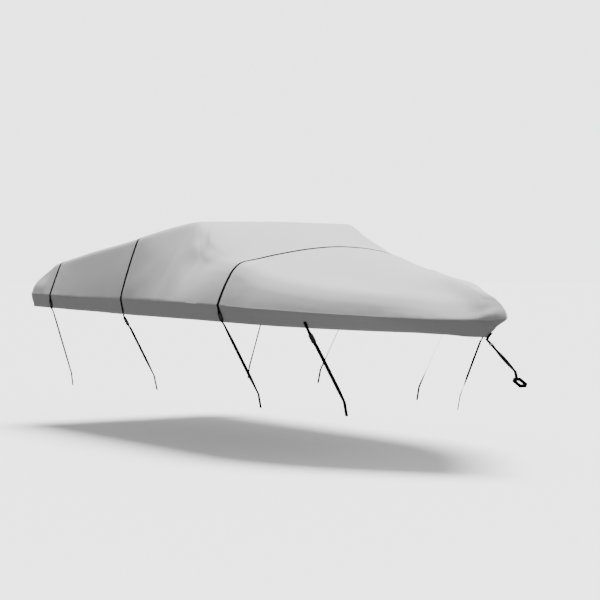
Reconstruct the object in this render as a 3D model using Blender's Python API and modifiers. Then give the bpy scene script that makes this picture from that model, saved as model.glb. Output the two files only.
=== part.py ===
"""Fitted boat cover with its webbing, tie-down straps and buckles.

The cover stands drawn tight, as a hollow shell with nothing inside. Lengths are metres. The
design frame runs s forward from the stern end, y to port and z up from the rail line; the
origin empty then moves everything so that the world origin is under the highest ridge of the
cover, where a support meets it.
"""

import math
from collections import namedtuple

import bmesh
import bpy
import numpy as np
from mathutils import Matrix, Vector

# Driving dimensions
CLOTH = 0.002            # cover cloth, with its coating and turned hem
WEBBING = 0.0015         # thickness of all webbing
WEBBING_WIDTH = 0.025
LAY = 0.0004             # air between pieces that lie on each other
RIDGE_S = 2.377          # station of the highest ridge
CROWN_REACH = 0.5        # how far the flat crown reaches from the spine towards the shoulder
ROW_STEP = 0.14          # longest gap between two ribs of the mesh
SKIRT_STEPS, SIDE_STEPS, BEND_STEPS, LEG_STEPS, TOP_STEPS = 2, 3, 3, 1, 6

# One row for each rib of the cover, from the middle of the stern round to the bow.
# in = distance inboard from the rail, drop and rise = below and above it, soft = bend reach.
RIB_COLUMNS = (
    "rail_s rail_y rail_z hem_in hem_drop low_in low_rise low_soft"
    " high_in high_rise high_soft spine_s spine_z"
)
Rib = namedtuple("Rib", RIB_COLUMNS)


def stern_rib(rail_y):
    """A rib from the flat stern: both its bends lie on straight lines across the cover."""
    rail_s = 0.0096 * rail_y**2
    spine_s = 0.400 + 0.038 * rail_y / 0.915
    length = math.hypot(spine_s - rail_s, rail_y)
    per_s = length / (spine_s - rail_s)
    low_in, low_soft = (0.100 - rail_s) * per_s, 0.035 * per_s
    high_in, high_soft = (0.364 - rail_s) * per_s, 0.060 * per_s
    spine_z = 0.305 + 0.225 * (spine_s - 0.364)
    return Rib(
        rail_s, rail_y, 0.030, 0.022, 0.108, low_in, 0.082, low_soft,
        high_in, 0.275, high_soft, spine_s, spine_z,
    )


STERN = tuple(stern_rib(y) for y in (0.0, 0.1, 0.2, 0.32, 0.45, 0.6, 0.72, 0.83, 0.915))
RIBS = STERN + (
    Rib(0.030, 0.996, 0.030, 0.022, 0.108, 0.120, 0.068, 0.09, 0.877, 0.275, 0.16, 0.439, 0.3219),
    Rib(0.089, 1.055, 0.030, 0.022, 0.108, 0.036, 0.066, 0.03, 0.871, 0.275, 0.19, 0.442, 0.3225),
    Rib(0.170, 1.077, 0.029, 0.022, 0.109, 0.065, 0.139, 0.03, 0.798, 0.276, 0.22, 0.445, 0.3232),
    Rib(0.300, 1.077, 0.027, 0.022, 0.110, 0.098, 0.224, 0.05, 0.473, 0.276, 0.20, 0.450, 0.3243),
    Rib(0.400, 1.077, 0.026, 0.022, 0.111, 0.104, 0.261, 0.04, 0.430, 0.285, 0.10, 0.462, 0.326),
    Rib(0.480, 1.077, 0.025, 0.022, 0.111, 0.106, 0.274, 0.04, 0.420, 0.300, 0.10, 0.480, 0.330),
    Rib(1.100, 1.077, 0.014, 0.024, 0.111, 0.122, 0.376, 0.04, 0.520, 0.398, 0.10, 1.100, 0.424),
    Rib(1.826, 1.077, 0.009, 0.026, 0.119, 0.160, 0.480, 0.04, 0.620, 0.488, 0.10, 1.826, 0.504),
    Rib(2.105, 1.077, 0.006, 0.028, 0.121, 0.262, 0.555, 0.05, 0.700, 0.558, 0.10, 2.105, 0.568),
    Rib(2.300, 1.077, 0.005, 0.029, 0.122, 0.336, 0.592, 0.05, 0.740, 0.596, 0.08, 2.300, 0.605),
    Rib(2.377, 1.077, 0.004, 0.030, 0.122, 0.365, 0.600, 0.05, 0.750, 0.605, 0.06, 2.377, 0.613),
    Rib(2.450, 1.077, 0.003, 0.030, 0.122, 0.345, 0.568, 0.06, 0.580, 0.592, 0.08, 2.450, 0.601),
    Rib(2.560, 1.077, 0.002, 0.031, 0.122, 0.310, 0.455, 0.06, 0.420, 0.553, 0.09, 2.560, 0.577),
    Rib(2.680, 1.077, 0.000, 0.032, 0.121, 0.262, 0.335, 0.06, 0.360, 0.500, 0.09, 2.680, 0.550),
    Rib(2.950, 1.075, -0.005, 0.036, 0.120, 0.195, 0.296, 0.07, 0.380, 0.408, 0.12, 2.950, 0.487),
    Rib(3.295, 1.054, -0.013, 0.043, 0.120, 0.152, 0.298, 0.08, 0.440, 0.348, 0.16, 3.295, 0.407),
    Rib(3.610, 0.990, -0.028, 0.047, 0.117, 0.140, 0.222, 0.08, 0.490, 0.295, 0.16, 3.610, 0.342),
    Rib(3.880, 0.899, -0.040, 0.051, 0.114, 0.132, 0.185, 0.08, 0.490, 0.258, 0.16, 3.880, 0.290),
    Rib(4.180, 0.757, -0.056, 0.057, 0.108, 0.122, 0.155, 0.07, 0.430, 0.235, 0.14, 4.180, 0.238),
    Rib(4.440, 0.590, -0.069, 0.066, 0.104, 0.108, 0.135, 0.06, 0.350, 0.215, 0.12, 4.430, 0.199),
    Rib(4.645, 0.434, -0.079, 0.088, 0.101, 0.093, 0.120, 0.05, 0.290, 0.200, 0.10, 4.550, 0.181),
    Rib(4.835, 0.284, -0.086, 0.120, 0.105, 0.075, 0.105, 0.05, 0.250, 0.192, 0.10, 4.610, 0.172),
    Rib(4.978, 0.158, -0.087, 0.150, 0.114, 0.060, 0.095, 0.04, 0.220, 0.186, 0.10, 4.650, 0.166),
    Rib(5.091, 0.067, -0.080, 0.170, 0.125, 0.048, 0.082, 0.03, 0.210, 0.176, 0.08, 4.680, 0.162),
    Rib(5.160, 0.021, -0.072, 0.180, 0.133, 0.042, 0.074, 0.03, 0.205, 0.168, 0.08, 4.700, 0.159),
    Rib(5.190, 0.000, -0.068, 0.184, 0.140, 0.040, 0.070, 0.03, 0.200, 0.164, 0.08, 4.710, 0.157),
)

FIRST_SIDE_ROW = len(STERN) + 2

# Soft folds and hollows on one side, from one place to another: width, and height outward.
# up is measured along the cloth, from the rail line towards the spine.
Fold = namedtuple("Fold", "side s_from up_from s_to up_to width height")
FOLDS = (
    Fold(-1, 1.90, 0.47, 2.30, 0.34, 0.060, 0.004),
    Fold(-1, 1.86, 0.06, 2.15, 0.22, 0.050, 0.003),
    Fold(-1, 2.45, 0.46, 2.80, 0.15, 0.070, -0.004),
    Fold(-1, 3.42, 0.03, 3.50, 0.19, 0.045, 0.004),
    Fold(-1, 0.80, 0.21, 1.50, 0.27, 0.110, -0.006),
    Fold(-1, 4.95, 0.17, 5.10, 0.02, 0.035, 0.004),
    Fold(1, 1.92, 0.42, 2.35, 0.28, 0.070, 0.004),
    Fold(1, 0.75, 0.25, 1.55, 0.23, 0.120, -0.005),
    Fold(1, 2.75, 0.19, 3.15, 0.12, 0.070, -0.004),
    Fold(1, 3.12, 0.52, 3.40, 0.46, 0.250, -0.044),
    Fold(1, 3.30, 0.38, 3.75, 0.28, 0.120, -0.024),
)

# Tie-downs, the same on both sides. Where there is an over strap it starts at the buckle.
# buckle_at is measured down the strap from the rail line to the top of the buckle.
Tie = namedtuple("Tie", "name s over buckle_at turn_s turn_y turn_z end_y end_z twist_deg")
TIES = (
    Tie("aft", 0.510, True, 0.052, 0.510, 0.880, -0.640, 0.866, -0.745, 6),
    Tie("mid", 1.826, True, 0.150, 1.826, 0.783, -0.599, 0.758, -0.711, 22),
    Tie("fore", 3.295, True, 0.055, 3.295, 0.716, -0.654, 0.696, -0.756, 30),
    Tie("quarter", 4.035, False, 0.172, 4.075, 0.501, -0.668, 0.480, -0.770, 50),
)
SEWN_RISE = 0.050        # length of a tie-down's top end that is sewn to the skirt
TWIST_RUN = 0.30         # share of the free span over which a strap turns, at each end

# Buckle, side release, for 25 mm webbing
BUCKLE_LENGTH, BUCKLE_WIDTH, BUCKLE_DEPTH = 0.060, 0.034, 0.010
SOCKET_LENGTH = 0.036
END_BAR = 0.0036
SLOT = 0.0034
SLOT_WIDTH = 0.0272
BUCKLE_WALL = 0.0020
BORE_LENGTH = 0.022
TURNED_BACK = 0.012      # webbing folded back behind a buckle's end bar
BUCKLE_RISE = 0.032      # run over which a strap rises from the cloth to its buckle
RUN_STEPS = 12

# Bow strap and its band, in the middle plane
BAND_AXIS = Vector((0.447, 0.0, 0.894)).normalized()
BAND_ACROSS, BAND_DEEP, BAND_CORNER = 0.060, 0.083, 0.006
BAND_CENTRE = Vector((5.338, 0.0, -0.484))
BOW_TURN = Vector((5.292, 0.0, -0.416))
BOW_SEWN = 0.055
BOW_PLAIN = 0.30         # share of the free strap, from the top, that isn't twisted
BOW_TWIST = math.radians(40)
BOW_TAIL = 0.085
BOW_SLIDE_AT = 0.055

SIDES = {-1: "starboard", 1: "port"}


# Smooth curves through the table

def monotone_slopes(knots, values):
    """Slopes at the knots that never let the curve overshoot its values."""
    steps = np.diff(knots)
    rises = np.diff(values) / steps
    slopes = np.zeros(len(values))
    same_way = rises[:-1] * rises[1:] > 0
    weight_a = 2 * steps[1:] + steps[:-1]
    weight_b = steps[1:] + 2 * steps[:-1]
    before = np.where(same_way, rises[:-1], 1.0)
    after = np.where(same_way, rises[1:], 1.0)
    mean = (weight_a + weight_b) / (weight_a / before + weight_b / after)
    slopes[1:-1] = np.where(same_way, mean, 0.0)
    slopes[0], slopes[-1] = rises[0], rises[-1]
    return slopes


TABLE = np.array(RIBS)
KNOTS = np.concatenate([[0.0], np.cumsum(np.hypot(*np.diff(TABLE[:, :2], axis=0).T))])
SLOPES = np.array([monotone_slopes(KNOTS, column) for column in TABLE.T]).T


def rib_at(t):
    """The table's row at any place t along the rail, by cubic steps between its rows."""
    i = int(np.clip(np.searchsorted(KNOTS, t) - 1, 0, len(KNOTS) - 2))
    span = KNOTS[i + 1] - KNOTS[i]
    u = (t - KNOTS[i]) / span
    row = (
        TABLE[i] * (2 * u**3 - 3 * u**2 + 1)
        + SLOPES[i] * span * (u**3 - 2 * u**2 + u)
        + TABLE[i + 1] * (3 * u**2 - 2 * u**3)
        + SLOPES[i + 1] * span * (u**3 - u**2)
    )
    return Rib(*row)


def place_of_station(s):
    """The place along the rail at station s, forward of the stern's corner."""
    low, high = KNOTS[FIRST_SIDE_ROW], KNOTS[-1]
    for _ in range(40):
        middle = (low + high) / 2
        if rib_at(middle).rail_s < s:
            low = middle
        else:
            high = middle
    return (low + high) / 2


def spine_slope(t):
    """Rise of the cover's centre line per metre forward, at the top of rib t."""
    a = rib_at(max(t - 0.01, 0.0))
    b = rib_at(min(t + 0.01, KNOTS[-1]))
    return (b.spine_z - a.spine_z) / (b.spine_s - a.spine_s)


def bezier(points, u):
    """A point on the Bezier curve of any number of control points."""
    while len(points) > 1:
        points = [a.lerp(b, u) for a, b in zip(points, points[1:])]
    return points[0]


def rib_points(t):
    """One half rib on the port side, from the hem over the rail and shoulder to the spine."""
    rib = rib_at(t)
    rail = Vector((rib.rail_s, rib.rail_y, rib.rail_z))
    spine = Vector((rib.spine_s, 0.0, rib.spine_z))
    inward = Vector((spine.x - rail.x, spine.y - rail.y, 0.0)).normalized()
    up = Vector((0.0, 0.0, 1.0))
    hem = rail + inward * rib.hem_in - up * rib.hem_drop
    low = rail + inward * rib.low_in + up * rib.low_rise
    high = rail + inward * rib.high_in + up * rib.high_rise
    crown = spine.lerp(high, CROWN_REACH)
    crown.z = spine.z + spine_slope(t) * (crown.x - spine.x)
    bend_from = low + (rail - low).normalized() * rib.low_soft
    bend_to = low + (high - low).normalized() * rib.low_soft
    leg_to = high + (low - high).normalized() * min(rib.high_soft, 0.45 * (high - low).length)

    points = [hem.lerp(rail, k / SKIRT_STEPS) for k in range(SKIRT_STEPS)]
    points += [rail.lerp(bend_from, k / SIDE_STEPS) for k in range(SIDE_STEPS)]
    points += [bezier([bend_from, low, bend_to], k / BEND_STEPS) for k in range(BEND_STEPS)]
    points += [bend_to.lerp(leg_to, k / LEG_STEPS) for k in range(LEG_STEPS)]
    points += [bezier([leg_to, high, crown, spine], k / TOP_STEPS) for k in range(TOP_STEPS + 1)]
    return points


def mesh_rows():
    """Places of all mesh ribs: the table's rows, steps between them, and pairs at the straps."""
    strap_places = []
    for tie in TIES:
        strap_places += [place_of_station(tie.s + edge * WEBBING_WIDTH / 2) for edge in (-1, 1)]
    places = [0.0]
    for a, b in zip(KNOTS, KNOTS[1:]):
        count = max(1, math.ceil((b - a) / ROW_STEP))
        places += [a + (b - a) * (k + 1) / count for k in range(count)]
    clear = [t for t in places if min(abs(t - p) for p in strap_places) > 0.03]
    return sorted(clear + strap_places)


def fold_height(side, s, up):
    """How far the folds of one side push the cloth out at a point."""
    total = 0.0
    for fold in FOLDS:
        if fold.side != side:
            continue
        run = np.array([fold.s_to - fold.s_from, fold.up_to - fold.up_from])
        off = np.array([s - fold.s_from, up - fold.up_from])
        share = np.clip(off @ run / (run @ run), 0.0, 1.0)
        gap = np.linalg.norm(off - run * share) / fold.width
        total += fold.height * math.exp(-gap * gap)
    return total


def cover_grid(side, rows):
    """All ribs of one side with the folds in them, as an array rib, point, coordinate."""
    grid = np.array([[tuple(point) for point in rib_points(t)] for t in rows])
    grid[:, :, 1] *= side
    along = np.gradient(grid, axis=0)
    upward = np.gradient(grid, axis=1)
    normal = np.cross(upward, along) * side
    normal /= np.linalg.norm(normal, axis=2, keepdims=True) + 1e-12
    steps = np.linalg.norm(np.diff(grid, axis=1), axis=2)
    up = np.cumsum(steps, axis=1) - steps[:, :SKIRT_STEPS].sum(axis=1, keepdims=True)
    for i in range(1, len(rows) - 1):
        for j in range(SKIRT_STEPS, grid.shape[1] - 1):
            push = fold_height(side, grid[i, j, 0], up[i, j - 1])
            grid[i, j] += normal[i, j] * push
    return grid


# Making objects

def linear(channel):
    """One sRGB channel, 0 to 255, as a linear value."""
    c = channel / 255
    return c / 12.92 if c <= 0.04045 else ((c + 0.055) / 1.055) ** 2.4


def material(name, srgb, roughness, metallic=0.0):
    """A plain material."""
    made = bpy.data.materials.new(name)
    made.use_nodes = True
    shader = made.node_tree.nodes["Principled BSDF"]
    shader.inputs["Base Color"].default_value = (*[linear(c) for c in srgb], 1.0)
    shader.inputs["Roughness"].default_value = roughness
    shader.inputs["Metallic"].default_value = metallic
    return made


def add_object(name, mesh, collection, parent, surface, smooth=True):
    """A mesh as one named object under the origin empty."""
    made = bpy.data.objects.new(name, mesh)
    if surface is not None and not mesh.materials:
        mesh.materials.append(surface)
    collection.objects.link(made)
    made.parent = parent
    if smooth:
        mesh.shade_smooth()
        mesh.set_sharp_from_angle(angle=math.radians(35))
    return made


def thicken(target, thickness, offset):
    """Gives an open sheet its thickness, to one side (1 or -1) or both (0)."""
    modifier = target.modifiers.new("thickness", "SOLIDIFY")
    modifier.thickness = thickness
    modifier.offset = offset
    modifier.use_even_offset = True
    return modifier


def add_cover(rows, grids, collection, parent, surface):
    """The cover, as a loft through all ribs of both sides."""
    bm = bmesh.new()
    for side, grid in grids.items():
        verts = [[bm.verts.new(point) for point in rib] for rib in grid]
        for rib_a, rib_b in zip(verts, verts[1:]):
            for k in range(len(rib_a) - 1):
                corners = (rib_a[k], rib_b[k], rib_b[k + 1], rib_a[k + 1])
                bm.faces.new(corners if side > 0 else corners[::-1])
    bmesh.ops.remove_doubles(bm, verts=bm.verts, dist=0.00002)
    bm.normal_update()
    highest = max(bm.faces, key=lambda face: face.calc_center_median().z)
    if highest.normal.z < 0:
        bmesh.ops.reverse_faces(bm, faces=bm.faces)
    mesh = bpy.data.meshes.new("cover")
    bm.to_mesh(mesh)
    bm.free()
    cover = add_object("cover", mesh, collection, parent, surface)
    thicken(cover, CLOTH, -1)
    return cover


def add_ribbon(name, centres, acrosses, collection, parent, surface, closed=False):
    """Webbing along a row of centre points, each with its own across direction."""
    bm = bmesh.new()
    pairs = []
    for centre, across in zip(centres, acrosses):
        half = across.normalized() * WEBBING_WIDTH / 2
        pairs.append((bm.verts.new(centre - half), bm.verts.new(centre + half)))
    ends = pairs[1:] + pairs[:1] if closed else pairs[1:]
    for (a, b), (c, d) in zip(pairs, ends):
        bm.faces.new((a, b, d, c))
    mesh = bpy.data.meshes.new(name)
    bm.to_mesh(mesh)
    bm.free()
    ribbon = add_object(name, mesh, collection, parent, surface)
    thicken(ribbon, WEBBING, 0)
    return ribbon


def box(size, centre):
    """A box mesh from the cube primitive."""
    bm = bmesh.new()
    bmesh.ops.create_cube(bm, size=1.0)
    bmesh.ops.scale(bm, vec=Vector(size), verts=bm.verts)
    bmesh.ops.translate(bm, vec=Vector(centre), verts=bm.verts)
    mesh = bpy.data.meshes.new("box")
    bm.to_mesh(mesh)
    bm.free()
    return mesh


def carve(name, body, steps, collection):
    """A box mesh with other boxes cut out of it or joined to it, as a mesh of its own."""
    target = bpy.data.objects.new(name + "_blank", body)
    collection.objects.link(target)
    others = []
    for operation, mesh in steps:
        other = bpy.data.objects.new(name + "_cutter", mesh)
        other.hide_render = True
        other.display_type = "WIRE"
        collection.objects.link(other)
        cut = target.modifiers.new("cut", "BOOLEAN")
        cut.operation = operation
        cut.object = other
        others.append(other)
    seen = target.evaluated_get(bpy.context.evaluated_depsgraph_get())
    made = bpy.data.meshes.new_from_object(seen)
    made.name = name
    for used in others + [target]:
        bpy.data.objects.remove(used)
    return made


# Straps

CLOTH_LAY = 2 * LAY + WEBBING / 2
BUCKLE_HEIGHT = BUCKLE_DEPTH / 2 + 2 * LAY + WEBBING
WRAP = END_BAR / 2 + LAY + WEBBING / 2


class StrapLine:
    """The line that one tie-down follows: down the skirt, then straight to where it turns."""

    def __init__(self, tie, side, edges):
        """edges holds the cloth's ribs, hem first, under the strap's two long edges."""
        self.tie = tie
        self.side = side
        aft, forward = edges
        hem = Vector((aft[0] + forward[0]) / 2)
        rail = Vector((aft[SKIRT_STEPS] + forward[SKIRT_STEPS]) / 2)
        turn = Vector((tie.turn_s, side * tie.turn_y, tie.turn_z))
        end = Vector((tie.turn_s, side * tie.end_y, tie.end_z))
        self.flat_across = Vector(forward[SKIRT_STEPS] - aft[SKIRT_STEPS]).normalized()
        self.points = [rail, hem, turn, end]
        lengths = [(b - a).length for a, b in zip(self.points, self.points[1:])]
        self.marks = np.concatenate([[0.0], np.cumsum(lengths)])

    def twist(self, d):
        """Angle turned by the webbing d metres down, none on the skirt nor past the turn."""
        share = (d - self.marks[1]) / (self.marks[2] - self.marks[1])
        ramp = float(np.clip(min(share, 1.0 - share) / TWIST_RUN, 0.0, 1.0))
        return math.radians(self.tie.twist_deg) * ramp * ramp * (3 - 2 * ramp)

    def frame(self, d):
        """Point, direction down the strap, across and outward, d metres below the rail."""
        i = int(np.clip(np.searchsorted(self.marks, d) - 1, 0, 2))
        a, b = self.points[i], self.points[i + 1]
        along = (b - a).normalized()
        across = self.flat_across - along * self.flat_across.dot(along)
        across = Matrix.Rotation(self.twist(d) * self.side, 3, along) @ across.normalized()
        outward = across.cross(along).normalized() * self.side
        return a + along * (d - self.marks[i]), along, across, outward

    def laid(self, places):
        """Centres and across directions of webbing that lies along the line."""
        frames = [self.frame(d) for d in places]
        centres = [point + outward * CLOTH_LAY for point, _, _, outward in frames]
        return centres, [across for _, _, across, _ in frames]

    def wrapped(self, bar, way):
        """The same for webbing round a buckle's end bar; way 1 comes from above."""
        middle = self.tie.buckle_at + BUCKLE_LENGTH / 2
        point, along, across, outward = self.frame(middle)
        near, far = bar - way * WRAP, bar + way * WRAP
        cut = 0.0006 * way
        top, under = BUCKLE_HEIGHT + WRAP, BUCKLE_HEIGHT - WRAP
        steps = [
            (near, top),
            (far - cut, top),
            (far, top - abs(cut)),
            (far, under + abs(cut)),
            (far - cut, under),
            (near, under),
            (near - way * TURNED_BACK, under),
        ]
        centres = [point + along * (d - middle) + outward * height for d, height in steps]
        return centres, [across] * len(centres)


def top_end(line, sewn_rise=0.0):
    """From the skirt down to the buckle's top bar and round it."""
    top = line.tie.buckle_at
    hem_at = line.marks[1]
    rise_from = top - BUCKLE_RISE
    places = [rise_from]
    if rise_from > hem_at:
        places = [hem_at - 0.002, hem_at + 0.002, rise_from]
    if sewn_rise:
        places.insert(0, hem_at - sewn_rise)
    return join(line.laid(places), line.wrapped(top + END_BAR / 2, 1))


def tie_down(line):
    """From the buckle's bottom bar down to the turn and the free end."""
    bottom = line.tie.buckle_at + BUCKLE_LENGTH
    turn, end = line.marks[2], line.marks[3]
    start = bottom + BUCKLE_RISE
    places = [start + (turn - start) * k / RUN_STEPS for k in range(RUN_STEPS + 1)]
    wrap = line.wrapped(bottom - END_BAR / 2, -1)
    return join([part[::-1] for part in wrap], line.laid(places + [end]))


def join(first, second):
    """Two runs of webbing, each centres and across directions, end to end."""
    return list(first[0]) + list(second[0]), list(first[1]) + list(second[1])


def laid_on_cloth(edges):
    """Strap centres over the cloth, rail to spine, at the webbing's height off it."""
    aft, forward = edges
    middle = [Vector(p) for p in (aft + forward) / 2]
    across = [Vector(p).normalized() for p in forward - aft]
    centres = []
    for k in range(SKIRT_STEPS, len(middle)):
        mirrored = Vector((middle[k - 1].x, -middle[k - 1].y, middle[k - 1].z))
        after = middle[k + 1] if k + 1 < len(middle) else mirrored
        down = (middle[k] - middle[k - 1]).normalized()
        up = (after - middle[k]).normalized()
        side = math.copysign(1.0, middle[SKIRT_STEPS].y)
        normals = [across[k].cross(way * -1).normalized() * side for way in (down, up)]
        mean = (normals[0] + normals[1]).normalized()
        centres.append(middle[k] + mean * (CLOTH_LAY / mean.dot(normals[0])))
    return centres, across[SKIRT_STEPS:]


class Parts:
    """Adds named pieces to the part's collection under its origin empty."""

    def __init__(self, collection, parent):
        self.collection = collection
        self.parent = parent

    def ribbon(self, name, centres, acrosses, surface, closed=False):
        """One piece of webbing."""
        add_ribbon(name, centres, acrosses, self.collection, self.parent, surface, closed)

    def copy(self, name, mesh, place):
        """One rigid piece at a place given by a matrix."""
        made = add_object(name, mesh, self.collection, self.parent, None, smooth=False)
        made.matrix_local = place


def add_straps(parts, strap_ribs, webbing, halves):
    """Over straps, tie-downs and buckles at all four stations."""
    for tie in TIES:
        over_centres, over_acrosses = [], []
        for side, side_name in SIDES.items():
            edges = strap_ribs[tie.name, side]
            line = StrapLine(tie, side, edges)
            name = f"{tie.name}_{side_name}"
            parts.ribbon("tie_down_" + name, *tie_down(line), webbing)
            add_buckle(parts, line, name, halves)
            if not tie.over:
                parts.ribbon("strap_tab_" + name, *top_end(line, SEWN_RISE), webbing)
                continue
            upward = [part[::-1] for part in top_end(line)]
            centres, acrosses = join(upward, laid_on_cloth(edges))
            if side > 0:
                centres, acrosses = centres[-2::-1], acrosses[-2::-1]
            over_centres += centres
            over_acrosses += acrosses
        if tie.over:
            parts.ribbon("over_strap_" + tie.name, over_centres, over_acrosses, webbing)


def add_buckle(parts, line, name, halves):
    """The two halves of one closed buckle, middle on the strap line."""
    middle = line.tie.buckle_at + BUCKLE_LENGTH / 2
    point, along, across, outward = line.frame(middle)
    place = Matrix((across * -line.side, along * -1, outward)).transposed().to_4x4()
    place.translation = point + outward * BUCKLE_HEIGHT
    for half, mesh in halves.items():
        parts.copy(f"buckle_{half}_{name}", mesh, place)


def strap_slot(end, way):
    """Cuts for webbing round a bar of END_BAR by END_BAR at a buckle's end; way is up or down."""
    through = 3 * BUCKLE_DEPTH
    recess = (SLOT_WIDTH, 2 * END_BAR + SLOT, BUCKLE_DEPTH)
    recess_z = (END_BAR + BUCKLE_DEPTH) / 2
    slot_y = end - way * (END_BAR + SLOT / 2)
    return [("DIFFERENCE", box((SLOT_WIDTH, SLOT, through), (0, slot_y, 0)))] + [
        ("DIFFERENCE", box(recess, (0, end, face * recess_z))) for face in (-1, 1)
    ]


def buckle_halves(cutters, plastic):
    """Meshes of socket and plug: y up the strap, z outward, middle of the whole at 0."""
    top, bottom = BUCKLE_LENGTH / 2, -BUCKLE_LENGTH / 2
    seam = top - SOCKET_LENGTH
    bore_width = BUCKLE_WIDTH - 2 * BUCKLE_WALL
    bore_depth = BUCKLE_DEPTH - 2 * BUCKLE_WALL
    window = (0.010, 0.012, bore_depth)
    window_y = seam + 0.012
    socket = carve(
        "buckle_socket",
        box((BUCKLE_WIDTH, SOCKET_LENGTH, BUCKLE_DEPTH), (0, top - SOCKET_LENGTH / 2, 0)),
        strap_slot(top, 1)
        + [
            ("DIFFERENCE", box((bore_width, 2 * BORE_LENGTH, bore_depth), (0, seam, 0))),
            ("DIFFERENCE", box(window, (BUCKLE_WIDTH / 2, window_y, 0))),
            ("DIFFERENCE", box(window, (-BUCKLE_WIDTH / 2, window_y, 0))),
        ],
        cutters,
    )
    base_length = BUCKLE_LENGTH - SOCKET_LENGTH - LAY
    prong = (0.0045, BORE_LENGTH - 0.002 + 0.004, bore_depth - 2 * LAY)
    prong_x = bore_width / 2 - LAY - prong[0] / 2
    prong_y = seam - 0.004 + prong[1] / 2
    pad = (0.0035, window[1] - 4 * LAY, prong[2])
    pad_x = bore_width / 2 + BUCKLE_WALL - pad[0] / 2
    steps = strap_slot(bottom, -1)
    for way in (-1, 1):
        steps.append(("UNION", box(prong, (way * prong_x, prong_y, 0))))
        steps.append(("UNION", box(pad, (way * pad_x, window_y, 0))))
    base = box((BUCKLE_WIDTH, base_length, BUCKLE_DEPTH), (0, bottom + base_length / 2, 0))
    plug = carve("buckle_plug", base, steps, cutters)
    for mesh in (socket, plug):
        mesh.materials.append(plastic)
    return {"socket": socket, "plug": plug}


# Bow strap

def add_bow(parts, bow_rib, webbing, metal):
    """The bow strap from the stem to its band, its turned-back end and its slide."""
    port = Vector((0.0, 1.0, 0.0))
    rail, hem = Vector(bow_rib[SKIRT_STEPS]), Vector(bow_rib[0])
    stem = (hem - rail).normalized()
    outside = Vector((-stem.z, 0.0, stem.x))
    hem_lay = hem + outside * CLOTH_LAY
    deep = Vector((BAND_AXIS.z, 0.0, -BAND_AXIS.x))
    band_face = BAND_CENTRE - deep * (BAND_DEEP / 2 + WEBBING + LAY)
    lying = [band_face + BAND_AXIS * way * WEBBING_WIDTH / 2 for way in (1, -1)]
    fold = hem_lay + stem * 0.006
    top_turn = fold + (outside + stem) * 0.005
    free = (BOW_TURN - top_turn).normalized()
    length = (BOW_TURN - top_turn).length
    above = Vector((-free.z, 0.0, free.x))
    centres = [hem_lay - stem * BOW_SEWN, hem_lay, fold]
    acrosses = [port] * 3
    for k in range(RUN_STEPS + 1):
        share = k / RUN_STEPS
        centres.append(top_turn + free * (length * share))
        ramp = max(0.0, min(share - BOW_PLAIN, 1.0 - share) / (0.5 - BOW_PLAIN / 2))
        turn = Matrix.Rotation(BOW_TWIST * ramp * ramp * (3 - 2 * ramp), 3, free)
        acrosses.append(turn @ port)
    centres += lying
    acrosses += [port] * 2
    parts.ribbon("bow_strap", centres, acrosses, webbing)

    lift = above * (WEBBING + LAY)
    tail = [top_turn + free * d + lift for d in (0.018, BOW_TAIL)]
    parts.ribbon("bow_strap_tail", tail, [port] * 2, webbing)

    place = Matrix((port, free, port.cross(free))).transposed().to_4x4()
    place.translation = top_turn + free * BOW_SLIDE_AT + lift / 2
    parts.copy("bow_slide", metal, place)

    ring, across = [], []
    half_deep, half_across = BAND_DEEP / 2 - BAND_CORNER, BAND_ACROSS / 2 - BAND_CORNER
    for quarter in range(4):
        way_deep = 1 if quarter in (0, 3) else -1
        way_across = 1 if quarter in (0, 1) else -1
        for k in range(4):
            angle = math.radians(90 * quarter + 30 * k)
            round_deep = way_deep * half_deep + BAND_CORNER * math.cos(angle)
            round_across = way_across * half_across + BAND_CORNER * math.sin(angle)
            ring.append(BAND_CENTRE + deep * round_deep + port * round_across)
            across.append(BAND_AXIS)
    parts.ribbon("bow_band", ring, across, webbing, closed=True)


def bow_slide(cutters, metal):
    """Slide that holds the bow strap and its turned-back end: x across, y along."""
    body = box((WEBBING_WIDTH + 0.007, 0.014, 0.0085), (0, 0, 0))
    hole = box((WEBBING_WIDTH + 0.0012, 0.05, 2 * WEBBING + 3 * LAY), (0, 0, 0))
    mesh = carve("bow_slide", body, [("DIFFERENCE", hole)], cutters)
    mesh.materials.append(metal)
    return mesh


def main():
    """Builds the whole part."""
    for old in list(bpy.data.objects):
        bpy.data.objects.remove(old)
    collection = bpy.data.collections.new("boat cover")
    cutters = bpy.data.collections.new("cutters")
    bpy.context.scene.collection.children.link(collection)
    bpy.context.scene.collection.children.link(cutters)

    polyester = material("light grey polyester", (176, 174, 176), 0.75)
    webbing = material("black webbing", (24, 24, 26), 0.6)
    plastic = material("black plastic", (20, 20, 21), 0.4)
    metal = material("plated steel", (190, 190, 188), 0.3, 1.0)

    ridge = rib_at(place_of_station(RIDGE_S))
    origin = bpy.data.objects.new("origin", None)
    origin.location = (-RIDGE_S, 0.0, CLOTH - ridge.spine_z)
    collection.objects.link(origin)

    rows = mesh_rows()
    grids = {side: cover_grid(side, rows) for side in SIDES}
    add_cover(rows, grids, collection, origin, polyester)

    strap_ribs = {}
    for tie in TIES:
        edges = [place_of_station(tie.s + way * WEBBING_WIDTH / 2) for way in (-1, 1)]
        found = [int(np.argmin(np.abs(np.array(rows) - edge))) for edge in edges]
        for side, grid in grids.items():
            strap_ribs[tie.name, side] = grid[found]
    parts = Parts(collection, origin)
    add_straps(parts, strap_ribs, webbing, buckle_halves(cutters, plastic))
    add_bow(parts, grids[1][-1], webbing, bow_slide(cutters, metal))


main()
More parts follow.
